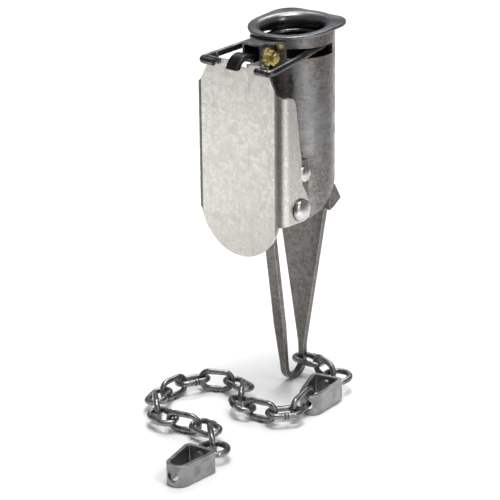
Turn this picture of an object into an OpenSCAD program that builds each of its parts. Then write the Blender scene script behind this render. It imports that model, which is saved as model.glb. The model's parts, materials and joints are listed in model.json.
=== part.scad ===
// Enclosed leghold trap on a stake, set, with its chain laid out on the floor.
// Millimetres. Origin: floor point under the stake's bend. +Z up, tube on the Z axis, lever plate faces -Y.

/* [Tube] */
// Outer diameter of the tube
tube_d = 54; // [48:0.5:60]
// Wall thickness of the tube
tube_wall = 2.3; // [1.6:0.1:3]
// Room of the side slots under the bail's wire
slot_under = 2.2; // [1.6:0.1:3]
// Room of the side slots over the bail's wire
slot_over = 0.2; // [0.1:0.1:1]
// Angle from the side to the slot's front end
slot_front = 58; // [54:1:66]
// Angle from the side to the slot's back end
slot_back = 17; // [12:1:25]
// Width of the front window for the trigger arm
window_w = 11; // [9.5:0.5:12]
// Height of the tube's lower edge at the bend of its slanted foot
foot_z = 125; // [110:0.5:140]
// Length from that edge to the rim's flat top
tube_len = 117.6; // [106:0.2:130]
// Rise of the slanted foot per millimetre in front
foot_rise_front = 0.4; // [0.3:0.02:0.5]
// Rise of the slanted foot per millimetre behind
foot_rise_back = 0.8; // [0.7:0.02:0.9]
// Height of the closing disc above the tube's lower edge
floor_rise = 27; // [26:1:55]
// Thickness of the closing disc
floor_t = 2; // [1.5:0.5:4]

/* [Mouth rim] */
// Thickness of the rim's sheet
rim_t = 2.3; // [1.6:0.1:2.6]
// Tilt of the rim, back edge up
rim_tilt = 4.5; // [3:0.5:6]
// How far the rim's round front stands out past the tube
rim_over = 1.4; // [0.8:0.1:4]
// How far the rim's straight back edge stands out past the tube
back_over = 0.4; // [0.2:0.1:3]
// Radius of the rim's back corners
rim_corner = 13.5; // [8:0.5:16]
// Radius of the rolled lip round the mouth
lip_r = 4.6; // [4:0.1:5]
// How far the lip goes straight down below its roll
lip_drop = 2.4; // [0.5:0.1:4]
// Gap between the rolled lip and the tube's bore
lip_gap = 0.1; // [0.05:0.05:0.5]

/* [Trigger] */
// Outer width of the trigger housing
house_w = 14.8; // [14.4:0.2:16]
// Sheet thickness of the trigger housing
house_t = 1.5; // [1.2:0.1:1.7]
// How far the trigger housing stands out from the tube
house_reach = 12.8; // [12:0.1:14]
// Gap between the housing and the rim over it
house_gap = 0.47; // [0.3:0.01:1]
// Height of the housing
house_h = 13.1; // [12:0.1:15]
// Distance from the housing's front edge to the trigger bolt
bolt_in = 5.8; // [5:0.1:6.4]
// Height of the trigger bolt over the housing's lower edge
bolt_rise = 4.5; // [4:0.1:5]
// Diameter of the trigger bolt
bolt_d = 6; // [5:0.1:6.2]
// Length of the bolt's free end past the nut
bolt_free = 2.2; // [1.4:0.2:6]
// Height of the flanged nut
nut_h = 5; // [4.4:0.2:6.6]
// Diameter of the nut's flange
nut_d = 12.2; // [11:0.2:13]
// Thickness of the washer under the nut
washer_t = 1; // [0.8:0.1:1.4]
// Width of the dog
dog_w = 9; // [6:0.5:9.6]
// Width of the trigger arm
arm_w = 7.6; // [5:0.2:8]
// Thickness of the trigger arm
arm_t = 2.4; // [1.8:0.1:2.6]
// How far the paddle hangs down inside the tube
paddle_drop = 17; // [8:1:18]

/* [Lever] */
// Sheet thickness of the lever plate
plate_t = 1.6; // [1.3:0.1:1.8]
// Outer width of the lever plate over its flanges
plate_w = 73; // [66:0.2:75]
// How far the lever plate's front face stands out from the tube
plate_reach = 26; // [25:0.1:27]
// Outer radius of the flange bends
plate_bend = 6.6; // [5:0.2:7]
// How far the plate's top edge lies under the bail's bow
plate_under = 2; // [1.6:0.1:2.6]
// How far the plate's narrow top reaches past the bail's bow on each side
plate_neck = 2.6; // [1.6:0.1:3]
// Depth of the dip in the plate's top edge under the dog
dip = 2.9; // [2.7:0.1:3.4]
// How much narrower the plate's round lower end is on each side
plate_inset = 4; // [1:0.5:5]
// Distance of the pivot pin from the tube
pivot_reach = 9; // [8.8:0.1:9.6]
// Height of the pivot pin above the tube's lower edge
pivot_rise = 10.5; // [10:0.1:12]
// Diameter of the pivot pin
pivot_d = 8; // [6.4:0.1:8.4]
// Diameter of the pivot pin's domed heads
pivot_head_d = 14.6; // [12:0.2:16]
// Distance of the stop pin from the tube
stop_reach = 2.9; // [2.7:0.1:3.3]
// Height of the stop pin above the pivot pin
stop_rise = 21.8; // [21:0.1:24]
// Diameter of the stop pin
stop_d = 5; // [4:0.1:5.2]
// Diameter of the stop pin's heads
stop_head_d = 10.5; // [9:0.1:10.8]
// Sheet thickness of the hinge ears
ear_t = 2.2; // [1.8:0.1:2.4]
// Thickness of the washers between the ears and the flanges
pivot_washer_t = 1.12; // [0.8:0.02:2]
// Height of the ears' top edge above the pivot pin
ear_rise = 30.5; // [29:0.5:34]

/* [Spring] */
// Wire diameter of the torsion spring
spring_d = 3; // [2.6:0.1:3.1]
// Mean radius of the spring's coils
spring_r = 6.6; // [6.5:0.1:6.7]
// Advance of the spring for each turn
spring_pitch = 3.7; // [3.65:0.05:3.8]

/* [Bail] */
// Wire diameter of the bail
bail_d = 4.4; // [3.8:0.1:4.5]
// Room between the bail's bow and the tube's bore
bail_room = 0.7; // [0.5:0.1:1.4]
// Angle at which the bail's arms spread
bail_spread = 6.7; // [6.6:0.1:7.2]
// How far the bail's bow lies under the rim's top
bail_drop = 12.2; // [11.6:0.1:13]
// Slope of the bail, hooks down
bail_slope = 4.6; // [4.2:0.1:4.8]
// Radius of the bends at the bail's hooks
bail_bend = 3.4; // [3:0.1:3.6]
// Straight length of each hook
hook_len = 7.5; // [5:0.5:12]

/* [Stake] */
// Thickness of the stake's strap
strap_t = 3.5; // [3:0.1:3.8]
// Width of the stake's front leg
strap_w = 8; // [7:0.2:8.4]
// Width of the stake's strap round the bend
neck_w = 4.6; // [4:0.2:6]
// Height at which the front leg is at its full width
neck_top = 42; // [30:1:50]
// Outer radius of the stake's bend
bend_r = 11; // [10.6:0.1:11.4]
// How far the front leg's face lies inside the tube's outside
leg_in = 0.31; // [0.1:0.05:1]
// How far the back leg's shoulders lie inside the tube's outside
leg_gap = 0.26; // [0.1:0.02:2]
// How much narrower the back leg is under its shoulders, on each side
shoulder = 4.6; // [1:0.2:8]
// Height at which the back leg starts to widen
back_low = 22; // [18:1:30]
// How far the side lugs reach behind the back leg
lug_reach = 8; // [5:0.5:10]

/* [Chain] */
// Wire diameter of the chain links
link_d = 3.8; // [3.2:0.1:3.9]
// Inner width of a chain link
link_in_w = 7.5; // [7.3:0.1:8]
// Inner length of a chain link
link_in_l = 17.4; // [17.2:0.1:17.8]
// Play between one link and the next along the chain
link_slack = 0.7; // [0.6:0.05:0.9]
// Tilt of the links about the chain's run
link_roll = 8; // [0:1:10]
// Height of the chain's run above the floor
chain_z = 7.5; // [7.4:0.1:8]
// Height of the first link on the stake's back leg
first_z = 11.2; // [11:0.2:12.4]
// Height of the first swivel's eye, held up by its link
ring_z = 9.6; // [9.2:0.1:10]
// Wire diameter of the swivel eyes
eye_d = 4; // [3.6:0.1:4.2]
// Inner radius of the swivel eyes
eye_in_r = 6.5; // [6.3:0.1:7]
// Diameter of the swivel shank
shank_d = 5.5; // [4.5:0.1:6]
// Thickness of the swivel boxes' strap
box_t = 2.5; // [2:0.1:2.8]
// Height of the swivel boxes
box_h = 13.5; // [12:0.5:14]
// Half width of the swivel boxes at the back
box_half = 11.5; // [10:0.5:13]
// Outer radius of the swivel boxes' back corners
box_corner = 3.6; // [3.2:0.2:4.4]
// Radius of the swivel boxes' nose
nose_r = 7.6; // [7.2:0.2:8.4]
// Diameter of the hole in the swivel boxes' nose
nose_hole = 7.6; // [7.4:0.1:7.8]

/* [Fits] */
// Radial clearance of turning fits
fit = 0.08; // [0.04:0.01:0.1]
// Gap left between pieces that pass each other
gap = 0.4; // [0.3:0.05:0.5]

/* [Hidden] */
$fn = 64;
tube_r = tube_d / 2;
bore_r = tube_r - tube_wall;
rim_z = foot_z + tube_len;
rim_low = rim_z - rim_t;
rim_r = tube_r + rim_over;
rim_back = tube_r + back_over;
lip_c = bore_r - lip_gap;
top_z = rim_z + 20;
floor_z = foot_z + floor_rise;
bail_r = bore_r - bail_d / 2 - bail_room;
bail_z = rim_z - bail_drop;
slot_low = bail_z - bail_d / 2 - slot_under;
slot_h = bail_d + slot_under + slot_over;
house_half = house_w / 2;
house_y = -tube_r - house_reach;
house_top = rim_low - rim_r * sin(rim_tilt) - house_gap;
house_low = house_top - house_h;
bolt_r = bolt_d / 2;
bolt_y = house_y + bolt_in;
bolt_z = house_low + bolt_rise;
plate_half = plate_w / 2;
plate_y = -tube_r - plate_reach;
plate_top = bail_z - plate_under;
plate_top_half = bail_r + plate_neck;
plate_round = plate_half - plate_inset;
flange_in = plate_half - plate_t;
pivot_r = pivot_d / 2;
pivot_y = -tube_r - pivot_reach;
pivot_z = foot_z + pivot_rise;
plate_round_z = pivot_z - 1.5;
stop_r = stop_d / 2;
stop_y = -tube_r - stop_reach;
stop_z = pivot_z + stop_rise;
ear_out = flange_in - fit - pivot_washer_t;
ear_x = ear_out - ear_t;
ear_top = pivot_z + ear_rise;
ear_low = pivot_z - 8;
ear_back = 1.8 - tube_r;
claw_y = plate_y + 4.5;
claw_z = plate_top - 6;
claw_in = 7.2;
claw_out = 10.6;
claw_low = plate_top - 3.9;
arm_top = bolt_z - 0.4;
arm_front = bolt_y + 4.5;
paddle_y = 21 - tube_r;
front_len = foot_z - 15;
front_lean = asin((tube_r - leg_in - bend_r) / front_len);
back_half = sqrt(pow(tube_r, 2) - pow(bend_r, 2)) - leg_gap;
link_r = link_d / 2;
link_bow = link_in_w / 2 + link_r;
link_mid = (link_in_l - link_in_w) / 2;
link_step = link_in_l - link_slack;
link_far = link_step - link_mid;
eye_r = eye_d / 2;
eye_bow = eye_in_r + eye_r;
eye_near = link_in_l / 2 + eye_in_r - link_slack;
box_x = eye_bow + eye_r + 1.4;
box_len = 33;
nose_x = box_x + box_len;
box_z = box_h / 2 + 0.2;
wall_x = nose_x - box_t / 2;

// headings of link 2, the first swivel, links 3 to 17 and the last swivel
headings = [-17, -77, -85, -127, -169, -210, -234, -193, -151, -110, -90, -68, -43, -11, 15, -9, -44, -82];

// unit vector on the floor
function dir(a) = [cos(a), sin(a), 0];
// points of an arc
function arc(c, r, a0, a1, n) = [for (i = [0 : n]) let(a = a0 + (a1 - a0) * i / n) c + r * [cos(a), sin(a)]];

// a flat vector turned by an angle
function turned(a, v) = [v[0] * cos(a) - v[1] * sin(a), v[0] * sin(a) + v[1] * cos(a)];

// extrudes a drawing of the Y and Z directions along X, from x0 to x1
module along_x(x0, x1) {
    translate([x0, 0, 0])
        rotate([90, 0, 90])
            linear_extrude(height = x1 - x0)
                children();
}

// round bar along X
module bar_x(y, z, r, x0, x1) {
    translate([x0, y, z])
        rotate([0, 90, 0])
            cylinder(r = r, h = x1 - x0);
}

// domed rivet head, its flat face at the origin and its dome along +X
module dome(d, h) {
    rotate([0, 90, 0])
        rotate_extrude()
            polygon(concat([[0, 0], [d / 2, 0]],
                [for (a = [0 : 10 : 80]) [d / 2 * cos(a), h * (0.2 + 0.8 * sin(a))]], [[0, h]]));
}

// everything below the slanted foot line
module foot_cut() {
    along_x(-60, 60)
        polygon([[-60, -10], [60, -10], [60, foot_z + 64 * foot_rise_back], [-4, foot_z],
            [-60, foot_z - 56 * foot_rise_front]]);
}

module tube_wall_part() {
    difference() {
        cylinder(r = tube_r, h = top_z);
        translate([0, 0, -1])
            cylinder(r = bore_r, h = top_z + 2);
        translate([0, 0, rim_low])
            rotate([rim_tilt, 0, 0])
                translate([-60, -60, 0])
                    cube([120, 120, 60]);
        foot_cut();
    }
}

module side_slot() {
    translate([0, 0, slot_low])
        linear_extrude(height = slot_h)
            polygon(concat([[0, 0]], arc([0, 0], 40, -slot_front, slot_back, 6)));
}

module tube() {
    color([0.55, 0.54, 0.52])
    difference() {
        tube_wall_part();
        difference() {
            union() {
                side_slot();
                mirror([1, 0, 0])
                    side_slot();
            }
            cylinder(r = bore_r - 3, h = top_z);
        }
        translate([-window_w / 2, -tube_r - 3, bolt_z - 11])
            cube([window_w, 10, 15]);
    }
}

module rim_outline() {
    circle(r = rim_r);
    translate([-rim_r, 0])
        square([2 * rim_r, rim_back - rim_corner]);
    translate([-(rim_r - rim_corner), 0])
        square([2 * (rim_r - rim_corner), rim_back]);
    for (s = [-1, 1])
        translate([s * (rim_r - rim_corner), rim_back - rim_corner])
            circle(r = rim_corner);
}

module mouth_rim() {
    roll_z = rim_t - lip_r;
    color([0.5, 0.5, 0.5])
    translate([0, 0, rim_low])
        rotate([rim_tilt, 0, 0]) {
            difference() {
                linear_extrude(height = rim_t)
                    rim_outline();
                translate([0, 0, -1])
                    cylinder(r = lip_c, h = rim_t + 2);
            }
            rotate_extrude()
                polygon(concat([[lip_c + 0.6, 0], [lip_c + 0.6, rim_t]],
                    arc([lip_c, roll_z], lip_r, 90, 180, 10),
                    [[lip_c - lip_r, roll_z - lip_drop], [lip_c - lip_r + rim_t, roll_z - lip_drop]],
                    arc([lip_c, roll_z], lip_r - rim_t, 180, 90, 10)));
        }
}

module trigger_housing() {
    wing = house_half + 6.6;
    color([0.3, 0.3, 0.31])
    difference() {
        union() {
            for (s = [-1, 1])
                translate([s * (house_half - house_t / 2) - house_t / 2, house_y, house_low])
                    cube([house_t, house_reach + 12, house_h - house_t / 2]);
            translate([0, 0, house_top - house_t])
                linear_extrude(height = house_t)
                    polygon([[-house_half, house_y], [house_half, house_y], [house_half, -tube_r - 6],
                        [house_half + 2.1, -tube_r - 2], [wing, 1.5 - tube_r], [wing, 9 - tube_r],
                        [-wing, 9 - tube_r], [-wing, 1.5 - tube_r], [-house_half - 2.1, -tube_r - 2],
                        [-house_half, -tube_r - 6]]);
        }
        cylinder(r = tube_r, h = top_z);
        bar_x(bolt_y, bolt_z, bolt_r + fit, -20, 20);
    }
}

module claw_outline() {
    difference() {
        translate([claw_y, claw_z])
            circle(r = claw_out);
        translate([claw_y, claw_z])
            circle(r = claw_in);
        translate([claw_y - 30, claw_low - 40])
            square([30, 40]);
        translate([claw_y, claw_low - 40])
            square([40, 42.4]);
    }
    translate([claw_y + 5.3, bolt_z - 2.6])
        square([bolt_y - claw_y - 5.3, 5]);
    translate([bolt_y, bolt_z])
        circle(r = bolt_r + 1.2);
    translate([bolt_y, arm_top - arm_t])
        square([arm_front - bolt_y, arm_t + 1.6]);
}

module dog() {
    color([0.2, 0.2, 0.21])
    difference() {
        along_x(-dog_w / 2, dog_w / 2)
            claw_outline();
        bar_x(bolt_y, bolt_z, bolt_r + fit, -20, 20);
        for (s = [-1, 1])
            translate([s * dog_w / 2, claw_y + 2.5, claw_z - 12])
                rotate([0, 0, s * 11])
                    translate([s > 0 ? 0 : -10, -30, 0])
                        cube([10, 30, 40]);
    }
}

module trigger_arm() {
    color([0.4, 0.4, 0.4])
    along_x(-arm_w / 2, arm_w / 2)
        polygon([[arm_front, arm_top], [arm_front, arm_top - arm_t], [paddle_y - arm_t, arm_top - arm_t],
            [paddle_y - arm_t, arm_top - paddle_drop], [paddle_y, arm_top - paddle_drop],
            [paddle_y, arm_top]]);
}

module trigger_bolt() {
    color([0.75, 0.62, 0.3]) {
        bar_x(bolt_y, bolt_z, bolt_r, -house_half - 0.5, house_half + washer_t + nut_h + bolt_free);
        translate([-house_half, bolt_y, bolt_z])
            rotate([0, 0, 180])
                dome(bolt_d + 3, 1.8);
    }
}

module trigger_washer() {
    color([0.7, 0.7, 0.68])
    difference() {
        bar_x(bolt_y, bolt_z, nut_d / 2 + 0.5, house_half, house_half + washer_t);
        bar_x(bolt_y, bolt_z, bolt_r + fit, 0, 20);
    }
}

module trigger_nut() {
    nut_x = house_half + washer_t;
    color([0.78, 0.64, 0.3])
    difference() {
        union() {
            translate([nut_x, bolt_y, bolt_z])
                rotate([0, 90, 0])
                    rotate_extrude()
                        polygon([[0, 0], [nut_d / 2, 0], [nut_d / 2, 1], [bolt_r + 1.6, 2.4], [0, 2.4]]);
            translate([nut_x + 1, bolt_y, bolt_z])
                rotate([0, 90, 0])
                    linear_extrude(height = nut_h - 1)
                        circle(d = bolt_d + 4, $fn = 6);
        }
        bar_x(bolt_y, bolt_z, bolt_r + fit, 0, 40);
    }
}

module bait_floor() {
    color([0.45, 0.44, 0.42])
    translate([0, 0, floor_z])
        cylinder(r = bore_r - fit, h = floor_t);
}

// the region the lever's flanges and plate may fill, seen from the side
module lever_side() {
    along_x(-50, 50)
        polygon([[plate_y - 5, pivot_z - 7.9], [plate_y - 5, plate_top - 16.1], [plate_y, plate_top - 16.1],
            [plate_y + 9, plate_top - 18.8], [plate_y + 11.4, plate_top - 20.8],
            [plate_y + 12.4, plate_top - 24], [pivot_y + 0.6, pivot_z + 32.5],
            [pivot_y + 1.4, pivot_z + 16.5], [pivot_y + 5.4, pivot_z + 10],
            [pivot_y + 7.6, pivot_z + 3.5], [pivot_y, pivot_z - 7.9]]);
    bar_x(pivot_y, pivot_z, pivot_r + 4.2, -50, 50);
    translate([-50, plate_y - 5, 60])
        cube([100, 6.9, 260]);
}

// the region the lever may fill, seen from the front
module lever_front() {
    top = plate_top_half;
    wide = plate_half + 1;
    rotate([90, 0, 0])
        linear_extrude(height = 80)
            polygon([[-top, plate_top], [top, plate_top], [top + 1.5, plate_top - 6.4],
                [wide - 6.8, plate_top - 15.6], [wide - 4.4, plate_top - 17.8], [wide, plate_top - 18.8],
                [wide, pivot_z - 8.5], [-wide, pivot_z - 8.5], [-wide, plate_top - 18.8],
                [4.4 - wide, plate_top - 17.8], [6.8 - wide, plate_top - 15.6],
                [-top - 1.5, plate_top - 6.4]]);
    translate([0, 0, plate_round_z])
        rotate([90, 0, 0])
            cylinder(r = plate_round, h = 80);
}

// solid channel with two rounded front edges
module channel(half, y, r, low, high) {
    translate([-half, y + r, low])
        cube([2 * half, 60, high - low]);
    translate([r - half, y, low])
        cube([2 * (half - r), 60, high - low]);
    for (s = [-1, 1])
        translate([s * (half - r), y + r, low])
            cylinder(r = r, h = high - low);
}

module lever_plate() {
    color([0.85, 0.84, 0.82])
    difference() {
        intersection() {
            difference() {
                channel(plate_half, plate_y, plate_bend, 60, 320);
                channel(flange_in, plate_y + plate_t, plate_bend - plate_t, 50, 330);
            }
            lever_side();
            lever_front();
        }
        translate([-dog_w / 2 - 3, plate_y - 2, plate_top - dip])
            cube([dog_w + 6, 6, 20]);
        bar_x(pivot_y, pivot_z, pivot_r + fit, -50, 50);
        bar_x(stop_y, stop_z, stop_head_d / 2 + gap, -50, 50);
    }
}

module pivot_pin() {
    color([0.72, 0.72, 0.7]) {
        bar_x(pivot_y, pivot_z, pivot_r, -plate_half - gap, plate_half + gap);
        for (s = [0, 1])
            mirror([s, 0, 0])
                translate([plate_half + gap, pivot_y, pivot_z])
                    dome(pivot_head_d, 3.8);
    }
}

module pivot_washers() {
    color([0.6, 0.6, 0.58])
    for (s = [0, 1])
        mirror([s, 0, 0])
            difference() {
                bar_x(pivot_y, pivot_z, pivot_r + 4, ear_out, flange_in - fit);
                bar_x(pivot_y, pivot_z, pivot_r + fit, 0, 50);
            }
}

module ear() {
    difference() {
        union() {
            along_x(ear_x, ear_out) {
                polygon([[pivot_y - pivot_r - 3.6, pivot_z - 2.7], [pivot_y - 2.5, ear_top - 4],
                    [pivot_y, ear_top], [ear_back, ear_top], [ear_back, ear_low], [pivot_y, ear_low]]);
                translate([pivot_y, pivot_z])
                    circle(r = pivot_r + 4);
            }
            translate([6, ear_back - ear_t, ear_low])
                cube([ear_out - 6, ear_t, ear_top - ear_low]);
        }
        cylinder(r = tube_r, h = top_z);
        bar_x(pivot_y, pivot_z, pivot_r + fit, 0, 50);
        bar_x(stop_y, stop_z, stop_r + fit, 0, 50);
    }
}

module hinge_ear_left() {
    color([0.4, 0.39, 0.38])
    mirror([1, 0, 0])
        ear();
}

module hinge_ear_right() {
    color([0.4, 0.39, 0.38])
    ear();
}

module stop_pin() {
    color([0.72, 0.72, 0.7]) {
        bar_x(stop_y, stop_z, stop_r, -ear_out, ear_out);
        for (s = [0, 1])
            mirror([s, 0, 0])
                translate([ear_out, stop_y, stop_z])
                    dome(stop_head_d, 3);
    }
}

// half of the spring's run: leg tip, leg, coil, and half of the bridge
spring_turns = 4.5;
spring_x = ear_x - 2.9;
spring_front = plate_y + plate_t + gap + spring_d / 2;
spring_back = pivot_y + spring_r;
leg_x = 8.6 - spring_x;
coil_end = spring_turns * spring_pitch - spring_x;
spring_half = concat(
    [[leg_x, spring_front, plate_top + 2.2], [leg_x, spring_front, plate_top - 2.4],
        [leg_x, spring_front, plate_top - 14.4], [leg_x - 0.9, spring_front + 0.3, plate_top - 30.4],
        [leg_x - 2.9, spring_front + 1.8, pivot_z + 44.5], [leg_x - 5.9, spring_front + 4, pivot_z + 26.5],
        [leg_x - 7.9, pivot_y - spring_r - 0.9, pivot_z + 12.5],
        [leg_x - 8.5, pivot_y - spring_r - 0.1, pivot_z + 5]],
    [for (i = [0 : 8 * spring_turns]) [-spring_x + spring_pitch * i / 8,
        pivot_y + spring_r * cos(180 + 45 * i), pivot_z + spring_r * sin(180 + 45 * i)]],
    [[coil_end + 0.05, spring_back, pivot_z + 4.5], [coil_end + 0.25, spring_back, pivot_z + 9.5],
        [coil_end + 1.35, spring_back, pivot_z + 13.1], [coil_end + 3.95, spring_back, pivot_z + 14.8]]);
spring_n = len(spring_half);
function mirrored(p) = [-p[0], p[1], p[2]];
spring_run = concat(spring_half, [for (i = [spring_n - 1 : -1 : 0]) mirrored(spring_half[i])]);
run_n = len(spring_run);

function unit(v) = v / norm(v);
function tangent(i) = unit(spring_run[min(i + 1, run_n - 1)] - spring_run[max(i - 1, 0)]);
function turn_normal(n, t) = unit(n - (n * t) * t);
// normals carried along the run without twist
function normals(i, n) = i >= run_n ? [] : let(m = turn_normal(n, tangent(i))) concat([m], normals(i + 1, m));
spring_normals = normals(0, [1, 0, 0]);
// one of the six corners of the wire at a point of the run
function corner(i, k) = let(n = spring_normals[i]) cos(60 * k) * n + sin(60 * k) * cross(tangent(i), n);
spring_points = [for (i = [0 : run_n - 1]) for (k = [0 : 5]) spring_run[i] + spring_d / 2 * corner(i, k)];
spring_faces = concat(
    [for (k = [1 : 4]) [0, k, k + 1]],
    [for (i = [0 : run_n - 2]) for (k = [0 : 5]) [6 * i + k, 6 * i + 6 + k, 6 * i + 6 + (k + 1) % 6]],
    [for (i = [0 : run_n - 2]) for (k = [0 : 5]) [6 * i + k, 6 * i + 6 + (k + 1) % 6, 6 * i + (k + 1) % 6]],
    [for (k = [1 : 4]) [6 * run_n - 6, 6 * run_n - 6 + k + 1, 6 * run_n - 6 + k]]);
// distance between two straight pieces, measured on points along them
function piece_gap(a, b, c, d) =
    min([for (s = [0 : 0.25 : 1]) for (t = [0 : 0.25 : 1]) norm(a + s * (b - a) - c - t * (d - c))]);
spring_gap = min([for (i = [0 : run_n - 8]) for (j = [i + 6 : run_n - 2])
    piece_gap(spring_run[i], spring_run[i + 1], spring_run[j], spring_run[j + 1])]) - spring_d;
echo(least_spring_gap = spring_gap);

module torsion_spring() {
    color([0.35, 0.35, 0.36])
    polyhedron(points = spring_points, faces = spring_faces, convexity = 10);
}

// half of the bail, in its own plane: bow, arm and hook
module bail_side() {
    turn_off = bail_bend * (cos(bail_spread) - sin(bail_spread) - 1);
    reach = (bail_d / 2 + gap - plate_y) / cos(bail_slope) + turn_off;
    tip_x = bail_r * cos(bail_spread);
    tip_y = bail_r * sin(bail_spread);
    arm_l = (reach + tip_y) / cos(bail_spread);
    rotate([0, 0, bail_spread])
        rotate_extrude(angle = 90 - bail_spread)
            translate([bail_r, 0])
                circle(d = bail_d);
    translate([tip_x, tip_y, 0])
        rotate([0, 0, bail_spread]) {
            rotate([90, 0, 0])
                cylinder(d = bail_d, h = arm_l - bail_bend);
            sphere(d = bail_d + 0.06);
            translate([0, bail_bend - arm_l, 0])
                sphere(d = bail_d + 0.06);
            translate([-bail_bend, bail_bend - arm_l, 0]) {
                rotate([0, 0, -90 - bail_spread])
                    rotate_extrude(angle = 90 + bail_spread)
                        translate([bail_bend, 0])
                            circle(d = bail_d);
                rotate([0, 0, -bail_spread])
                    translate([0, -bail_bend, 0]) {
                        sphere(d = bail_d + 0.06);
                        rotate([0, -90, 0])
                            cylinder(d = bail_d, h = hook_len);
                    }
            }
        }
}

module bail() {
    color([0.3, 0.3, 0.3])
    translate([0, 0, bail_z])
        rotate([bail_slope, 0, 0]) {
            bail_side();
            mirror([1, 0, 0])
                bail_side();
            rotate([0, 0, 86])
                rotate_extrude(angle = 8)
                    translate([bail_r, 0])
                        circle(d = bail_d + 0.1);
        }
}

// the stake's strap seen from the side: front leg, bend and foot of the back leg
module stake_side() {
    c = [0, bend_r];
    in_r = bend_r - strap_t;
    polygon(concat([c + turned(front_lean, [-bend_r, front_len])], arc(c, bend_r, 180 + front_lean, 360, 24),
        [[bend_r, back_low], [in_r, back_low]], arc(c, in_r, 360, 180 + front_lean, 24),
        [c + turned(front_lean, [-in_r, front_len])]));
}

// what the strap loses on its right side where it narrows towards the bend
module neck_cut() {
    side = strap_w / 2 + 1;
    rotate([90, 0, 0])
        linear_extrude(height = 60)
            polygon([[neck_w / 2, -1], [side, -1], [side, neck_top], [strap_w / 2, neck_top],
                [neck_w / 2, bend_r + 3]]);
    translate([neck_w / 2, -1, -1])
        cube([side, 60, back_low + 2]);
}

module stake() {
    back_y = bend_r - strap_t;
    color([0.33, 0.31, 0.29])
    difference() {
        union() {
            difference() {
                along_x(-strap_w / 2, strap_w / 2)
                    stake_side();
                neck_cut();
                mirror([1, 0, 0])
                    neck_cut();
            }
            translate([0, back_y + strap_t, 0])
                rotate([90, 0, 0])
                    linear_extrude(height = strap_t)
                        polygon([[-neck_w / 2, back_low - 2], [neck_w / 2, back_low - 2],
                            [neck_w / 2, back_low], [back_half - shoulder, foot_z - 4.5],
                            [back_half, foot_z - 2], [back_half, foot_z + 15], [-back_half, foot_z + 15],
                            [-back_half, foot_z - 2], [shoulder - back_half, foot_z - 4.5],
                            [-neck_w / 2, back_low]]);
            for (s = [0, 1])
                mirror([s, 0, 0])
                    along_x(back_half - 2.5, back_half)
                        polygon([[back_y, foot_z - 4], [back_y, foot_z + 11], [bend_r + 2, foot_z + 12.5],
                            [bend_r + lug_reach, foot_z + 2], [bend_r, foot_z - 3]]);
        }
        tube_wall_part();
        difference() {
            translate([-60, -60, foot_z - 25])
                cube([120, 120, 100]);
            foot_cut();
        }
    }
}

// one welded link, its middle at the origin, lying in the X and Y directions with its length along X
module link_shape() {
    for (s = [0, 1])
        mirror([s, 0, 0])
            translate([link_mid, 0, 0])
                rotate([0, 0, -90])
                    rotate_extrude(angle = 180)
                        translate([link_bow, 0])
                            circle(r = link_r);
    for (s = [-1, 1])
        translate([-link_mid, s * link_bow, 0])
            rotate([0, 90, 0])
                cylinder(r = link_r, h = 2 * link_mid);
    translate([-1.1, link_bow, 0])
        rotate([0, 90, 0])
            cylinder(r = link_r + 0.25, h = 2.2);
}

// puts a shape at a point, with its heading, its slope and its roll
module placed(p, heading, slope, roll) {
    translate(p)
        rotate([0, 0, heading])
            rotate([0, -slope, 0])
                rotate([roll, 0, 0])
                    children();
}

// swivel eye: ring at the origin, shank along +X, head inside the box
module eye_shape() {
    rotate_extrude()
        translate([eye_bow, 0])
            circle(r = eye_r);
    translate([eye_bow, 0, 0])
        rotate([0, 90, 0])
            cylinder(d = shank_d, h = box_x + box_t + 1 - eye_bow);
    translate([box_x + box_t + gap, 0, 0])
        rotate([0, 90, 0])
            cylinder(d = 10, h = 3);
}

// solid swivel box, drawn at a given depth inside its outer face
module box_solid(t, h) {
    c = nose_x - nose_r;
    r = nose_r - t;
    lean = atan2(box_half, c - box_x) - asin(nose_r / norm([box_half, c - box_x]));
    half = r / cos(lean) + tan(lean) * (c - box_x - t);
    round_r = box_corner - t;
    x = box_x + t + round_r;
    y = half - round_r * (1 + sin(lean)) / cos(lean);
    side = [sin(lean), cos(lean)];
    for (p = [[c, 0, r], [x, y, round_r], [x, -y, round_r]])
        translate([p[0], p[1], -h / 2])
            cylinder(r = p[2], h = h);
    translate([0, 0, -h / 2])
        linear_extrude(height = h)
            polygon([[box_x + t, -y], [box_x + t, y], [x, y] + round_r * side, [c, 0] + r * side,
                [c + r * side[0], -r * side[1]], [x + round_r * side[0], -y - round_r * side[1]]]);
}

// swivel box: bent strap round the eye's head, nose hole at its far end
module box_shape() {
    difference() {
        box_solid(0, box_h);
        box_solid(box_t, box_h + 4);
        rotate([0, 90, 0])
            cylinder(r = shank_d / 2 + fit, h = box_x + box_t + 2);
        translate([nose_x - box_t - 2, 0, 0])
            rotate([0, 90, 0])
                cylinder(d = nose_hole, h = 10);
    }
}

// first link: round the stake's back leg
first_off = sqrt(pow(link_in_w / 2 - gap, 2) - pow(strap_t / 2, 2));
first_turn = [first_off - neck_w / 2, bend_r - strap_t / 2, first_z];
first_c = first_turn + [link_mid, 0, 0];
pin_2 = first_c + [link_mid, 0, 0];
slope_2 = -asin((first_z - ring_z) / (link_far + eye_near - eye_bow / 2));
ring_1 = pin_2 + (link_far + eye_near) * cos(slope_2) * dir(headings[0]) - [0, 0, first_z - ring_z];
slope_1 = -asin((ring_z - box_z) / wall_x);
nose_1 = ring_1 + wall_x * cos(slope_1) * dir(headings[1]) - [0, 0, ring_z - box_z];
// third link: its lower side goes through the nose hole, its upper side over the box
hook_z = box_z + link_bow - 0.55;
hook_reach = link_in_l / 2 - 3.1;
slope_3 = -asin((hook_z - chain_z) / (hook_reach + link_far));

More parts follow.
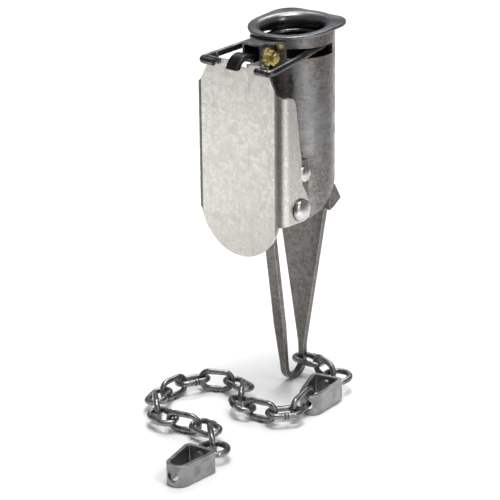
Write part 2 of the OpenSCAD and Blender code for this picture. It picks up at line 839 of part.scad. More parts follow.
// distance from the turning point before a link to the next one
function span(k) = k == 3 ? (hook_reach + link_far) * cos(slope_3)
    : k == 17 ? link_far + eye_near
    : k % 2 == 0 ? 2 * link_mid : 2 * link_far;
// how far the links next to the first swivel are held up
function lift(k) = k == 4 ? 0.8 : k == 5 ? 0.4 : 0;
// turning point before link k
function turn_at(k) = k == 3 ? [nose_1[0], nose_1[1], chain_z]
    : turn_at(k - 1) + span(k - 1) * dir(headings[k - 2]);
// middle of link k
function mid_at(k) = turn_at(k) + (k % 2 == 0 ? link_mid : link_far) * dir(headings[k - 1]) + [0, 0, lift(k)];
// roll of link k: even ones lie, odd ones stand
function roll_at(k) = (k > 5 ? link_roll : 0) - 90 * (k % 2);
ring_2 = turn_at(18);
hook_up = hook_z - nose_1[2] + hook_reach * sin(slope_3);
hook_3 = nose_1 + hook_reach * cos(slope_3) * dir(headings[2]) + [0, 0, hook_up];

echo(first_turn = first_turn, pin_2 = pin_2, ring_1 = ring_1, nose_1 = nose_1, ring_2 = ring_2);
echo(slope_1 = slope_1);
echo(turns = [for (k = [3 : 18]) turn_at(k)]);
echo(mount = ring_2 + wall_x * dir(headings[17]) + [0, 0, box_z - chain_z]);

module chain_link(k) {
    color([0.5, 0.5, 0.5])
    placed(mid_at(k), headings[k - 1], 0, roll_at(k))
        link_shape();
}

module link_01() {
    color([0.5, 0.5, 0.5])
    placed(first_c, 0, 0, 0)
        link_shape();
}

module link_02() {
    color([0.5, 0.5, 0.5])
    placed(pin_2 + link_far * cos(slope_2) * dir(headings[0]) + [0, 0, link_far * sin(slope_2)], headings[0],
        slope_2, -90)
        link_shape();
}

module link_03() {
    color([0.5, 0.5, 0.5])
    placed(hook_3, headings[2], slope_3, -90)
        link_shape();
}

module link_04() { chain_link(4); }
module link_05() { chain_link(5); }
module link_06() { chain_link(6); }
module link_07() { chain_link(7); }
module link_08() { chain_link(8); }
module link_09() { chain_link(9); }
module link_10() { chain_link(10); }
module link_11() { chain_link(11); }
module link_12() { chain_link(12); }
module link_13() { chain_link(13); }
module link_14() { chain_link(14); }
module link_15() { chain_link(15); }
module link_16() { chain_link(16); }
module link_17() { chain_link(17); }

module swivel_eye_1() {
    color([0.45, 0.45, 0.45])
    placed(ring_1, headings[1], slope_1, 0)
        eye_shape();
}

module swivel_box_1() {
    color([0.45, 0.44, 0.43])
    placed(ring_1, headings[1], slope_1, 0)
        box_shape();
}

module swivel_eye_2() {
    color([0.45, 0.45, 0.45])
    placed([ring_2[0], ring_2[1], box_z], headings[17], 0, 0)
        eye_shape();
}

module swivel_box_2() {
    color([0.45, 0.44, 0.43])
    placed([ring_2[0], ring_2[1], box_z], headings[17], 0, 0)
        box_shape();
}

tube();
mouth_rim();
trigger_housing();
dog();
trigger_arm();
trigger_bolt();
trigger_washer();
trigger_nut();
bait_floor();
lever_plate();
torsion_spring();
pivot_pin();
pivot_washers();
hinge_ear_left();
hinge_ear_right();
stop_pin();
bail();
stake();
link_01();
link_02();
link_03();
link_04();
link_05();
link_06();
link_07();
link_08();
link_09();
link_10();
link_11();
link_12();
link_13();
link_14();
link_15();
link_16();
link_17();
swivel_eye_1();
swivel_box_1();
swivel_eye_2();
swivel_box_2();
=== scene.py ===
"""Finishes, softened edges and studio for a staked, enclosed paw trap and its ground chain."""

import json
import logging
import math
from dataclasses import dataclass, field
from enum import Enum
from typing import Optional, Union

import bmesh
import bpy
from mathutils import Matrix, Quaternion, Vector


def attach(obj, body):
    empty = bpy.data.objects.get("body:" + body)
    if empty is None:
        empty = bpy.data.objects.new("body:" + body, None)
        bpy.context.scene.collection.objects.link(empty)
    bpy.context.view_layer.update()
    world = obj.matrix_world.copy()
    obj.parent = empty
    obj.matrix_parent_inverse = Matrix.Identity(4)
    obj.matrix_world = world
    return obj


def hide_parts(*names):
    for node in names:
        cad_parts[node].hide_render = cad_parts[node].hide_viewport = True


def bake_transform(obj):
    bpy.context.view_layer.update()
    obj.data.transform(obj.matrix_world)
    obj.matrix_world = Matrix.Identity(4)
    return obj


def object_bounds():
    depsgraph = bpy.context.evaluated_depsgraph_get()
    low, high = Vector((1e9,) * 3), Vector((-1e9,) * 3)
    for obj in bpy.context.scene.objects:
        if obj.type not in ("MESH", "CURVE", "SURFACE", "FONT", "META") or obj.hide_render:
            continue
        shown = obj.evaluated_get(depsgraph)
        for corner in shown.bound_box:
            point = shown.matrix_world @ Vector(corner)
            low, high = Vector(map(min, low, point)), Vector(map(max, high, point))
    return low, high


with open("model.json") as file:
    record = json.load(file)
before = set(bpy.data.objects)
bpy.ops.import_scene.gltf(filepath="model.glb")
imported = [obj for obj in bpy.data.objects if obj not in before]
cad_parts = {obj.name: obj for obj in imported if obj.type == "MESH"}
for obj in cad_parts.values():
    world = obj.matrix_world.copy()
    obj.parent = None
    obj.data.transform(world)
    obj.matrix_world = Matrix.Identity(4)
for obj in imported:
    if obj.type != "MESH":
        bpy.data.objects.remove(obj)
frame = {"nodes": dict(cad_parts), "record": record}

CAD_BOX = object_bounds()
LOG = logging.getLogger("paw_trap")
MM = 0.001
MERGE = 1e-6  # metres; points nearer than this become one

Pair = tuple[float, float]
Colour = tuple[float, float, float]
Point = tuple[float, float, float]
Feed = Union[float, Colour, bpy.types.NodeSocket]


class Slot(Enum):
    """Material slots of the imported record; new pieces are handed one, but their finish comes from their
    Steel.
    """

    RIM = "rim_steel"
    DARK = "dark_steel"
    YELLOW = "yellow_zinc"
    PLATE = "plate_steel"
    SPRING = "spring_steel"
    STAKE = "stake_steel"
    CHAIN = "chain_steel"
    SWIVEL = "swivel_steel"


class ShaderSheet:
    """One finish's node tree, with short calls for the nodes that steel needs."""

    mix_share, mix_a, mix_b, mix_colour = 0, 6, 7, 2  # a Mix node's sockets for colours
    range_sockets: int = 5
    edge_samples: int = 6
    edge_cosines: Pair = (0.995, 0.90)

    def __init__(self, name: str) -> None:
        """Starts an empty principled material of the given name."""
        self.material = bpy.data.materials.new(name)
        self.material.use_nodes = True
        self.tree = self.material.node_tree
        self.shader = self.tree.nodes["Principled BSDF"]
        self.place = self.add("ShaderNodeTexCoord").outputs["Object"]

    def add(self, kind: str) -> bpy.types.Node:
        """Adds a node of the given kind."""
        return self.tree.nodes.new(kind)

    def feed(self, value: Feed, socket: bpy.types.NodeSocket) -> None:
        """Links a socket, or sets a plain number or colour on it.

        Args:
            value: A node's output, a number or a colour.
            socket: The input that takes it.
        """
        if isinstance(value, bpy.types.NodeSocket):
            self.tree.links.new(value, socket)
        elif isinstance(value, tuple):
            socket.default_value = (*value, 1.0) if len(socket.default_value) == 4 else value
        else:
            socket.default_value = value

    def noise(self, size: float, detail: float, rough: float, stretch: Point = (1.0, 1.0, 1.0),
              turn: Point = (0.0, 0.0, 0.0)) -> bpy.types.NodeSocket:
        """Cloud noise on Object coordinates.

        Args:
            size: Size of the largest features in millimetres.
            detail: Number of octaves.
            rough: Strength of the finer octaves.
            stretch: Frequency along each axis, below 1 for long features.
            turn: Turn of the pattern in degrees.

        Returns:
            The noise value, about 0.2 to 0.8.
        """
        mapping = self.add("ShaderNodeMapping")
        mapping.inputs["Scale"].default_value = stretch
        mapping.inputs["Rotation"].default_value = [math.radians(a) for a in turn]
        self.feed(self.place, mapping.inputs["Vector"])
        node = self.add("ShaderNodeTexNoise")
        node.inputs["Scale"].default_value = 1.0 / (size * MM)
        node.inputs["Detail"].default_value = detail
        node.inputs["Roughness"].default_value = rough
        self.feed(mapping.outputs["Vector"], node.inputs["Vector"])
        return node.outputs["Fac"]

    def band(self, value: Feed, low: float, high: float, out_low: float = 0.0,
             out_high: float = 1.0) -> bpy.types.NodeSocket:
        """Maps a value smoothly from one range to another, clamped at both ends.

        Args:
            value: The value to map.
            low: Where the first range starts.
            high: Where the first range ends, below low to turn the mask round.
            out_low: What low becomes.
            out_high: What high becomes.

        Returns:
            The mapped value.
        """
        node = self.add("ShaderNodeMapRange")
        node.interpolation_type = "SMOOTHSTEP"
        sockets = list(node.inputs)[:self.range_sockets]
        for socket, number in zip(sockets, (value, low, high, out_low, out_high)):
            self.feed(number, socket)
        return node.outputs["Result"]

    def math(self, kind: str, a: Feed, b: Feed) -> bpy.types.NodeSocket:
        """Joins two values by a Math node.

        Args:
            kind: The node's operation.
            a: First value.
            b: Second value.

        Returns:
            The result.
        """
        node = self.add("ShaderNodeMath")
        node.operation = kind
        self.feed(a, node.inputs[0])
        self.feed(b, node.inputs[1])
        return node.outputs["Value"]

    def mix(self, share: Feed, a: Feed, b: Feed) -> bpy.types.NodeSocket:
        """Turns one colour into another.

        Args:
            share: How much of the second colour shows, from 0 to 1.
            a: First colour.
            b: Second colour.

        Returns:
            The mixed colour.
        """
        node = self.add("ShaderNodeMix")
        node.data_type = "RGBA"
        self.feed(share, node.inputs[self.mix_share])
        self.feed(a, node.inputs[self.mix_a])
        self.feed(b, node.inputs[self.mix_b])
        return node.outputs[self.mix_colour]

    def edge(self, width: float) -> bpy.types.NodeSocket:
        """A mask that is 1 along a piece's edges and 0 on its open faces.

        Args:
            width: Reach of the mask from the edge in millimetres.

        Returns:
            The mask.
        """
        rounded = self.add("ShaderNodeBevel")
        rounded.samples = self.edge_samples
        rounded.inputs["Radius"].default_value = width * MM
        surface = self.add("ShaderNodeNewGeometry")
        dot = self.add("ShaderNodeVectorMath")
        dot.operation = "DOT_PRODUCT"
        self.feed(rounded.outputs["Normal"], dot.inputs[0])
        self.feed(surface.outputs["Normal"], dot.inputs[1])
        return self.band(dot.outputs["Value"], *self.edge_cosines)

    def axis(self, name: str) -> bpy.types.NodeSocket:
        """Reads one Object coordinate.

        Args:
            name: X, Y or Z.

        Returns:
            The coordinate in metres.
        """
        node = self.add("ShaderNodeSeparateXYZ")
        self.feed(self.place, node.inputs["Vector"])
        return node.outputs[name]

    def bump(self, height: Feed, depth: float,
             under: Optional[bpy.types.NodeSocket] = None) -> bpy.types.NodeSocket:
        """A normal raised by a height value.

        Args:
            height: Value from 0 to 1.
            depth: Depth of the relief in millimetres.
            under: Normal of the relief below this one.

        Returns:
            The new normal.
        """
        node = self.add("ShaderNodeBump")
        node.inputs["Distance"].default_value = depth * MM
        self.feed(height, node.inputs["Height"])
        if under is not None:
            self.feed(under, node.inputs["Normal"])
        return node.outputs["Normal"]


@dataclass(frozen=True)
class Steel:
    """Bare, rolled or plated steel: patches, streaks, specks, rubbed edges and grain.

    Sizes, widths and depths are in millimetres. A field that ends in noise holds a pattern's octaves
    and the strength of the finer ones, and one that ends in band the noise values it fades between.
    """

    name: str
    base: Colour
    patch: Colour
    edge: Colour
    streak: Colour
    speck: Colour
    rough: Pair = (0.3, 0.5)
    dull_scale: float = 0.6
    dull_noise: Pair = (5.0, 0.6)
    dull_band: Pair = (0.35, 0.65)
    patch_size: float = 14.0
    patch_noise: Pair = (6.0, 0.62)
    patch_band: Pair = (0.42, 0.62)
    streak_size: float = 6.0
    streak_stretch: Point = (0.2, 0.2, 2.5)
    streak_noise: Pair = (4.0, 0.6)
    streak_band: Pair = (0.45, 0.75)
    streak_share: float = 0.4
    speck_size: float = 1.6
    speck_noise: Pair = (2.0, 0.5)
    speck_band: Pair = (0.62, 0.72)
    speck_share: float = 0.5
    edge_width: float = 0.7
    edge_share: float = 0.8
    edge_least: float = 0.25
    edge_polish: float = 0.08
    wear_size: float = 3.5
    wear_noise: Pair = (4.0, 0.65)
    wear_band: Pair = (0.36, 0.6)
    grain_size: float = 0.7
    grain_noise: Pair = (4.0, 0.6)
    grain: float = 0.02
    wave_size: float = 9.0
    wave_noise: Pair = (2.0, 0.5)
    wave: float = 0.05
    metallic: float = 1.0

    def colour(self, sheet: ShaderSheet) -> bpy.types.NodeSocket:
        """Layers the finish's colours from the ground up.

        Args:
            sheet: The node tree that the finish is drawn in.

        Returns:
            The colour.
        """
        patches = sheet.band(sheet.noise(self.patch_size, *self.patch_noise), *self.patch_band)
        made = sheet.mix(patches, self.base, self.patch)
        streaks = sheet.noise(self.streak_size, *self.streak_noise, self.streak_stretch)
        made = sheet.mix(sheet.band(streaks, *self.streak_band, 0.0, self.streak_share), made, self.streak)
        specks = sheet.noise(self.speck_size, *self.speck_noise)
        return sheet.mix(sheet.band(specks, *self.speck_band, 0.0, self.speck_share), made, self.speck)

    def wear(self, sheet: ShaderSheet) -> bpy.types.NodeSocket:
        """Mask of the rubbed edges, broken up so that they wear unevenly."""
        broken = sheet.band(sheet.noise(self.wear_size, *self.wear_noise), *self.wear_band,
                            self.edge_least, self.edge_share)
        return sheet.math("MULTIPLY", sheet.edge(self.edge_width), broken)

    def relief(self, sheet: ShaderSheet) -> bpy.types.NodeSocket:
        """Normal with the rolled waviness and the fine grain."""
        wave = sheet.bump(sheet.noise(self.wave_size, *self.wave_noise), self.wave)
        return sheet.bump(sheet.noise(self.grain_size, *self.grain_noise), self.grain, wave)

    def build(self) -> bpy.types.Material:
        """Makes the material.

        Returns:
            The material, which reads Object coordinates only.
        """
        sheet = ShaderSheet(self.name)
        wear = self.wear(sheet)
        sheet.feed(sheet.mix(wear, self.colour(sheet), self.edge), sheet.shader.inputs["Base Color"])
        clouds = sheet.noise(self.patch_size * self.dull_scale, *self.dull_noise)
        dull = sheet.band(clouds, *self.dull_band, *self.rough)
        polish = sheet.math("MULTIPLY", wear, self.edge_polish)
        sheet.feed(sheet.math("SUBTRACT", dull, polish), sheet.shader.inputs["Roughness"])
        sheet.feed(self.relief(sheet), sheet.shader.inputs["Normal"])
        sheet.shader.inputs["Metallic"].default_value = self.metallic
        return sheet.material


@dataclass(frozen=True)
class TubeSteel(Steel):
    """Drawn tube with mill scale, a brown bloom and a little rust round its side slots and mouth.

    Flecks break up the bloom. The rust sets in between its two heights over the ground.
    """

    rust: Colour = (0.16, 0.085, 0.045)
    rust_heights: Pair = (205.0, 225.0)
    rust_size: float = 7.0
    rust_stretch: Point = (1.0, 1.0, 1.6)
    rust_noise: Pair = (6.0, 0.7)
    rust_band: Pair = (0.5, 0.68)
    rust_share: float = 0.55
    bloom: Colour = (0.125, 0.098, 0.078)
    bloom_size: float = 26.0
    bloom_noise: Pair = (4.0, 0.6)
    bloom_band: Pair = (0.40, 0.60)
    fleck_size: float = 2.6
    fleck_stretch: Point = (1.0, 1.0, 1.4)
    fleck_noise: Pair = (8.0, 0.75)
    fleck_band: Pair = (0.44, 0.58)
    fleck_share: float = 0.85

    def colour(self, sheet: ShaderSheet) -> bpy.types.NodeSocket:
        """Layers the scale colours, a fine brown bloom and the rust near the mouth.

        Args:
            sheet: The node tree that the finish is drawn in.

        Returns:
            The colour.
        """
        fields = sheet.band(sheet.noise(self.bloom_size, *self.bloom_noise), *self.bloom_band)
        flecks = sheet.noise(self.fleck_size, *self.fleck_noise, self.fleck_stretch)
        flecks = sheet.band(flecks, *self.fleck_band, 0.0, self.fleck_share)
        made = sheet.mix(sheet.math("MULTIPLY", fields, flecks), Steel.colour(self, sheet), self.bloom)
        upper = sheet.band(sheet.axis("Z"), *(height * MM for height in self.rust_heights))
        spots = sheet.noise(self.rust_size, *self.rust_noise, self.rust_stretch)
        spots = sheet.band(spots, *self.rust_band, 0.0, self.rust_share)
        return sheet.mix(sheet.math("MULTIPLY", upper, spots), made, self.rust)


@dataclass(frozen=True)
class PlateSteel(Steel):
    """Bright rolled plate with handling scratches and small stains, with painted shade along the flange
    bends.

    A line of scratches has its turn in degrees and its size. A bend's rise and fall are distances from
    the plate's middle between which the band of painted shade begins and ends.
    """

    scratch: Colour = (0.34, 0.32, 0.30)
    scratch_lines: tuple[Pair, ...] = ((8.0, 2.4), (-37.0, 3.0), (64.0, 3.4))
    scratch_stretch: Point = (3.0, 3.0, 0.10)
    scratch_noise: Pair = (2.0, 0.5)
    scratch_band: Pair = (0.665, 0.72)
    scratch_share: float = 0.5
    stain: Colour = (0.36, 0.33, 0.28)
    stain_size: float = 5.0
    stain_noise: Pair = (8.0, 0.75)
    stain_band: Pair = (0.60, 0.70)
    stain_share: float = 0.55
    # painted shade: the colour that both flange bends are darkened to
    bend_shade_colour: Colour = (0.045, 0.043, 0.04)
    left_rise: Pair = (30.0, 31.2)
    left_fall: Pair = (34.8, 36.2)
    left_share: float = 0.92
    right_rise: Pair = (28.9, 30.2)
    right_fall: Pair = (33.4, 35.0)
    right_share: float = 0.6

    def scratches(self, sheet: ShaderSheet) -> bpy.types.NodeSocket:
        """Draws fine scratches in three directions.

        Args:
            sheet: The node tree that the finish is drawn in.

        Returns:
            Their mask.
        """
        made: Feed = 0.0
        for turn, size in self.scratch_lines:
            lines = sheet.noise(size, *self.scratch_noise, self.scratch_stretch, (0.0, turn, 0.0))
            lines = sheet.band(lines, *self.scratch_band, 0.0, self.scratch_share)
            made = sheet.math("MAXIMUM", made, lines)
        return made

    def painted_bend_shade(self, sheet: ShaderSheet) -> bpy.types.NodeSocket:
        """Draws a band of painted shade along both flange bends.

        Args:
            sheet: The node tree that the finish is drawn in.

        Returns:
            Its mask.
        """
        made: Feed = 0.0
        sides = ((-1.0, self.left_rise, self.left_fall, self.left_share),
                 (1.0, self.right_rise, self.right_fall, self.right_share))
        for sign, (start, full), (end, stop), share in sides:
            across = sheet.math("MULTIPLY", sheet.axis("X"), sign)
            rising = sheet.band(across, start * MM, full * MM)
            falling = sheet.band(across, end * MM, stop * MM, share, 0.0)
            made = sheet.math("MAXIMUM", made, sheet.math("MULTIPLY", rising, falling))
        return made

    def colour(self, sheet: ShaderSheet) -> bpy.types.NodeSocket:
        """Layers the mottled ground, scratches and stains, with painted shade along the bends.

        Args:
            sheet: The node tree that the finish is drawn in.

        Returns:
            The colour.
        """
        made = sheet.mix(self.scratches(sheet), Steel.colour(self, sheet), self.scratch)
        stains = sheet.noise(self.stain_size, *self.stain_noise)
        made = sheet.mix(sheet.band(stains, *self.stain_band, 0.0, self.stain_share), made, self.stain)
        # painted shade: darkens the plate's colour along both flange bends
        return sheet.mix(self.painted_bend_shade(sheet), made, self.bend_shade_colour)


TUBE = TubeSteel("tube_mill_scale", (0.222, 0.221, 0.221), (0.172, 0.166, 0.16), (0.42, 0.41, 0.39),
                 (0.34, 0.33, 0.315), (0.06, 0.05, 0.043), rough=(0.24, 0.40), patch_size=14.0,
                 patch_band=(0.42, 0.62), streak_size=3.0, streak_stretch=(0.35, 0.35, 3.2),
                 streak_share=0.45, speck_size=2.2, speck_share=0.6, grain=0.035)
INSIDE = Steel("tube_floor_scale", (0.10, 0.095, 0.09), (0.06, 0.052, 0.045), (0.25, 0.24, 0.22),
               (0.14, 0.13, 0.12), (0.03, 0.026, 0.022), rough=(0.45, 0.65))
RIM = Steel("rim_satin_steel", (0.205, 0.206, 0.213), (0.155, 0.155, 0.16), (0.46, 0.46, 0.46),
            (0.25, 0.25, 0.255), (0.07, 0.067, 0.063), rough=(0.24, 0.36), patch_size=22.0,
            streak_share=0.25, speck_share=0.3, grain=0.012)
DARK = Steel("trigger_dark_steel", (0.165, 0.161, 0.157), (0.11, 0.106, 0.102), (0.50, 0.49, 0.48),
             (0.21, 0.205, 0.20), (0.035, 0.033, 0.03), rough=(0.28, 0.42), patch_size=5.0, edge_width=0.9,
             edge_share=0.95, grain=0.015, wave=0.02)
DOG = Steel("dog_forged_steel", (0.055, 0.055, 0.056), (0.03, 0.03, 0.03), (0.30, 0.30, 0.29),
            (0.09, 0.09, 0.09), (0.02, 0.02, 0.02), rough=(0.22, 0.36), patch_size=6.0, edge_width=0.9,
            grain=0.015, wave=0.03)
BAIL = Steel("bail_drawn_wire", (0.12, 0.12, 0.122), (0.055, 0.053, 0.052), (0.42, 0.42, 0.41),
             (0.20, 0.20, 0.20), (0.03, 0.03, 0.03), rough=(0.20, 0.36), patch_size=11.0,
             streak_stretch=(2.5, 0.12, 2.5), streak_size=2.5, grain=0.012)
SPRING = Steel("spring_wire", (0.15, 0.15, 0.155), (0.085, 0.083, 0.082), (0.40, 0.40, 0.40),
               (0.22, 0.22, 0.22), (0.04, 0.04, 0.04), rough=(0.22, 0.36), patch_size=8.0, grain=0.012)
PLATE = PlateSteel("lever_bright_plate", (0.51, 0.495, 0.46), (0.485, 0.47, 0.435), (0.70, 0.69, 0.67),
                   (0.53, 0.515, 0.48), (0.25, 0.235, 0.21), rough=(0.24, 0.34), patch_size=5.0,
                   streak_size=7.0, streak_stretch=(1.6, 1.6, 0.5), streak_share=0.25, speck_size=1.0,
                   speck_share=0.6, edge_share=0.6, grain=0.012, wave=0.02)
BRIGHT = Steel("rivet_bright_zinc", (0.56, 0.56, 0.55), (0.42, 0.42, 0.41), (0.75, 0.75, 0.74),
               (0.62, 0.62, 0.61), (0.30, 0.29, 0.28), rough=(0.20, 0.32), patch_size=4.0, grain=0.004,
               wave=0.01)
YELLOW = Steel("bolt_yellow_zinc", (0.62, 0.49, 0.20), (0.55, 0.42, 0.165), (0.84, 0.74, 0.46),
               (0.66, 0.54, 0.26), (0.34, 0.25, 0.10), rough=(0.22, 0.30), patch_size=6.0, streak_share=0.2,
               speck_share=0.15, grain=0.003, wave=0.006)
STAKE = Steel("stake_rolled_scale", (0.172, 0.164, 0.154), (0.118, 0.108, 0.099), (0.42, 0.405, 0.38),
              (0.21, 0.198, 0.186), (0.05, 0.043, 0.037), rough=(0.30, 0.46), patch_size=3.2,
              patch_band=(0.38, 0.64), streak_size=3.0, streak_stretch=(0.5, 0.5, 2.6), streak_share=0.5,
              edge_width=1.0, edge_share=0.95, grain=0.03, wave=0.05)
CHAIN = Steel("chain_bright_wire", (0.27, 0.27, 0.268), (0.16, 0.158, 0.155), (0.50, 0.50, 0.49),
              (0.35, 0.35, 0.345), (0.07, 0.066, 0.06), rough=(0.24, 0.38), patch_size=7.0,
              streak_size=3.0, streak_stretch=(1.0, 1.0, 1.0), grain=0.008, wave=0.015)
WELD = Steel("chain_weld_flash", (0.07, 0.068, 0.065), (0.04, 0.038, 0.036), (0.30, 0.30, 0.29),
             (0.12, 0.118, 0.115), (0.02, 0.02, 0.02), rough=(0.36, 0.5), patch_size=2.0, grain=0.01)
SWIVEL = Steel("swivel_satin_strap", (0.30, 0.30, 0.296), (0.21, 0.205, 0.198), (0.55, 0.55, 0.54),
               (0.36, 0.36, 0.355), (0.12, 0.075, 0.045), rough=(0.28, 0.42), patch_size=7.0,
               speck_share=0.35, grain=0.025)


class Workshop:
    """Turns nodes and rough meshes into finished pieces, with one material per finish.

    Edges that turn by more than sharp_angle degrees are rounded, and faces that meet at less than
    flat_angle degrees are joined.
    """

    flat_angle: float = 0.4
    sharp_angle: float = 30.0
    round_steps: int = 3
    flat_weight: int = 80

    def __init__(self) -> None:
        """Starts with no material made."""
        self.made: dict[str, bpy.types.Material] = {}
        self.nodes: dict[str, bpy.types.Object] = frame["nodes"]
        bodies = frame["record"]["behaviour"]["bodies"]
        self.body_of: dict[str, str] = {node: body for body, nodes in bodies.items() for node in nodes}

    def finish(self, piece: bpy.types.Object, steel: Steel) -> None:
        """Gives a piece its only material, made once for each finish.

        Args:
            piece: The object to dress.
            steel: The finish.
        """
        if steel.name not in self.made:
            self.made[steel.name] = steel.build()
        piece.data.materials.clear()
        piece.data.materials.append(self.made[steel.name])

    def keep(self, node: str, steel: Steel) -> None:
        """Keeps a CAD node's own shape and gives it a finish."""
        self.finish(self.nodes[node], steel)
        LOG.info("kept %s in %s", node, steel.name)

    def piece(self, name: str, mesh: bmesh.types.BMesh, steel: Steel, slot: Slot) -> bpy.types.Object:
        """Makes a smooth shaded object from a bmesh, at the origin.

        Args:
            name: Name of the piece.
            mesh: The shape in metres, freed here.
            steel: The finish.
            slot: The record's material slot; not used.

        Returns:
            The new object, which rides on nothing yet.
        """
        data = bpy.data.meshes.new(name)
        mesh.to_mesh(data)
        mesh.free()
        for face in data.polygons:
            face.use_smooth = True
        made = bpy.data.objects.new(name, data)
        bpy.context.scene.collection.objects.link(made)
        self.finish(made, steel)
        LOG.info("made %s, %d faces, in %s", name, len(data.polygons), steel.name)
        return made

    def merged(self, node: str) -> bmesh.types.BMesh:
        """Copies a CAD node's mesh, with its doubles merged and its flat faces joined.

        Args:
            node: The CAD node.

        Returns:
            The copy, in metres.
        """
        mesh = bmesh.new()
        mesh.from_mesh(self.nodes[node].data)
        bmesh.ops.remove_doubles(mesh, verts=mesh.verts, dist=MERGE)
        bmesh.ops.dissolve_limit(mesh, angle_limit=math.radians(self.flat_angle), verts=mesh.verts,
                                 edges=mesh.edges)
        return mesh

    def soften(self, node: str, steel: Steel, slot: Slot, width: float) -> None:
        """Replaces a CAD node by a copy whose sharp edges are rounded.

        Args:
            node: The CAD node.
            steel: The finish.
            slot: The record's material slot.
            width: Width of the rounding in millimetres.
        """
        mesh = self.merged(node)
        least = math.radians(self.sharp_angle)
        sharp = [e for e in mesh.edges if len(e.link_faces) == 2 and e.calc_face_angle() > least]
        bmesh.ops.bevel(mesh, geom=sharp, offset=width * MM, offset_type="OFFSET", affect="EDGES",
                        segments=self.round_steps, profile=0.5, material=-1, clamp_overlap=True)
        made = self.piece(f"{node}_soft", mesh, steel, slot)
        weighted = made.modifiers.new("flat_faces", "WEIGHTED_NORMAL")
        weighted.weight = self.flat_weight
        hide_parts(node)
        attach(made, self.body_of[node])


@dataclass
class TubeAssembly:
    """The tube with its rim, floor, stake, hinge ears and fixed pins, and its roundings in millimetres."""

    rim_edge: float = 0.7
    stake_edge: float = 0.45
    ear_edge: float = 0.4

    def build(self, shop: Workshop) -> None:
        """Rounds and dresses the tube's own pieces.

        Args:
            shop: The workshop that makes and finishes the pieces.
        """
        shop.keep("tube", TUBE)
        shop.keep("bait_floor", INSIDE)
        shop.soften("mouth_rim", RIM, Slot.RIM, self.rim_edge)
        shop.soften("stake", STAKE, Slot.STAKE, self.stake_edge)
        for side in ("left", "right"):
            shop.soften(f"hinge_ear_{side}", STAKE, Slot.STAKE, self.ear_edge)
        for node in ("pivot_pin", "pivot_washers", "stop_pin"):
            shop.keep(node, BRIGHT)


@dataclass
class TriggerAssembly:
    """The trigger's housing, dog, arm, bolt, washer and nut, and their roundings in millimetres."""

    housing_edge: float = 0.35
    dog_edge: float = 0.6
    arm_edge: float = 0.4
    nut_edge: float = 0.3

    def build(self, shop: Workshop) -> None:
        """Rounds and dresses the trigger's pieces.

        Args:
            shop: The workshop that makes and finishes the pieces.
        """
        shop.soften("trigger_housing", DARK, Slot.DARK, self.housing_edge)
        shop.soften("dog", DOG, Slot.DARK, self.dog_edge)
        shop.soften("trigger_arm", DARK, Slot.DARK, self.arm_edge)
        shop.soften("trigger_bolt", YELLOW, Slot.YELLOW, self.nut_edge)
        shop.soften("trigger_nut", YELLOW, Slot.YELLOW, self.nut_edge)
        shop.keep("trigger_washer", DARK)


@dataclass
class LeverAssembly:
    """The lever's bent plate and the torsion spring behind it, in millimetres and degrees."""

    plate_edge: float = 0.35
    spring_rounds: int = 2
    join_angle: float = 60.0
    join_skew: float = 80.0
    coil_front: float = -43.5
    coil_back: float = -29.5
    pivot_z: float = 135.5

    def spring(self, shop: Workshop) -> None:
        """Replaces the spring between the lever and the tube by a copy of its wire, rounded by subdivision.

        Args:
            shop: The workshop that makes and finishes the pieces.
        """
        mesh = bmesh.new()
        mesh.from_mesh(shop.nodes["torsion_spring"].data)
        bmesh.ops.remove_doubles(mesh, verts=mesh.verts, dist=MERGE)
        bmesh.ops.join_triangles(mesh, faces=mesh.faces, angle_face_threshold=math.radians(self.join_angle),
                                 angle_shape_threshold=math.radians(self.join_skew))
        made = shop.piece("torsion_spring_wire", mesh, SPRING, Slot.SPRING)
        rounding = made.modifiers.new("round_wire", "SUBSURF")
        rounding.levels = rounding.render_levels = self.spring_rounds
        graph = bpy.context.evaluated_depsgraph_get()
        smooth = bpy.data.meshes.new_from_object(made.evaluated_get(graph))
        made.modifiers.clear()
        made.data = smooth
        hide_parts("torsion_spring")
        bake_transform(made)

    def build(self, shop: Workshop) -> None:
        """Rounds the plate and makes the spring."""
        shop.soften("lever_plate", PLATE, Slot.PLATE, self.plate_edge)
        self.spring(shop)


@dataclass
class BailWire:
    """The wire bail that the lever pulls."""

    node: str = "bail"

    def build(self, shop: Workshop) -> None:
        """Dresses the bail."""
        shop.keep(self.node, BAIL)


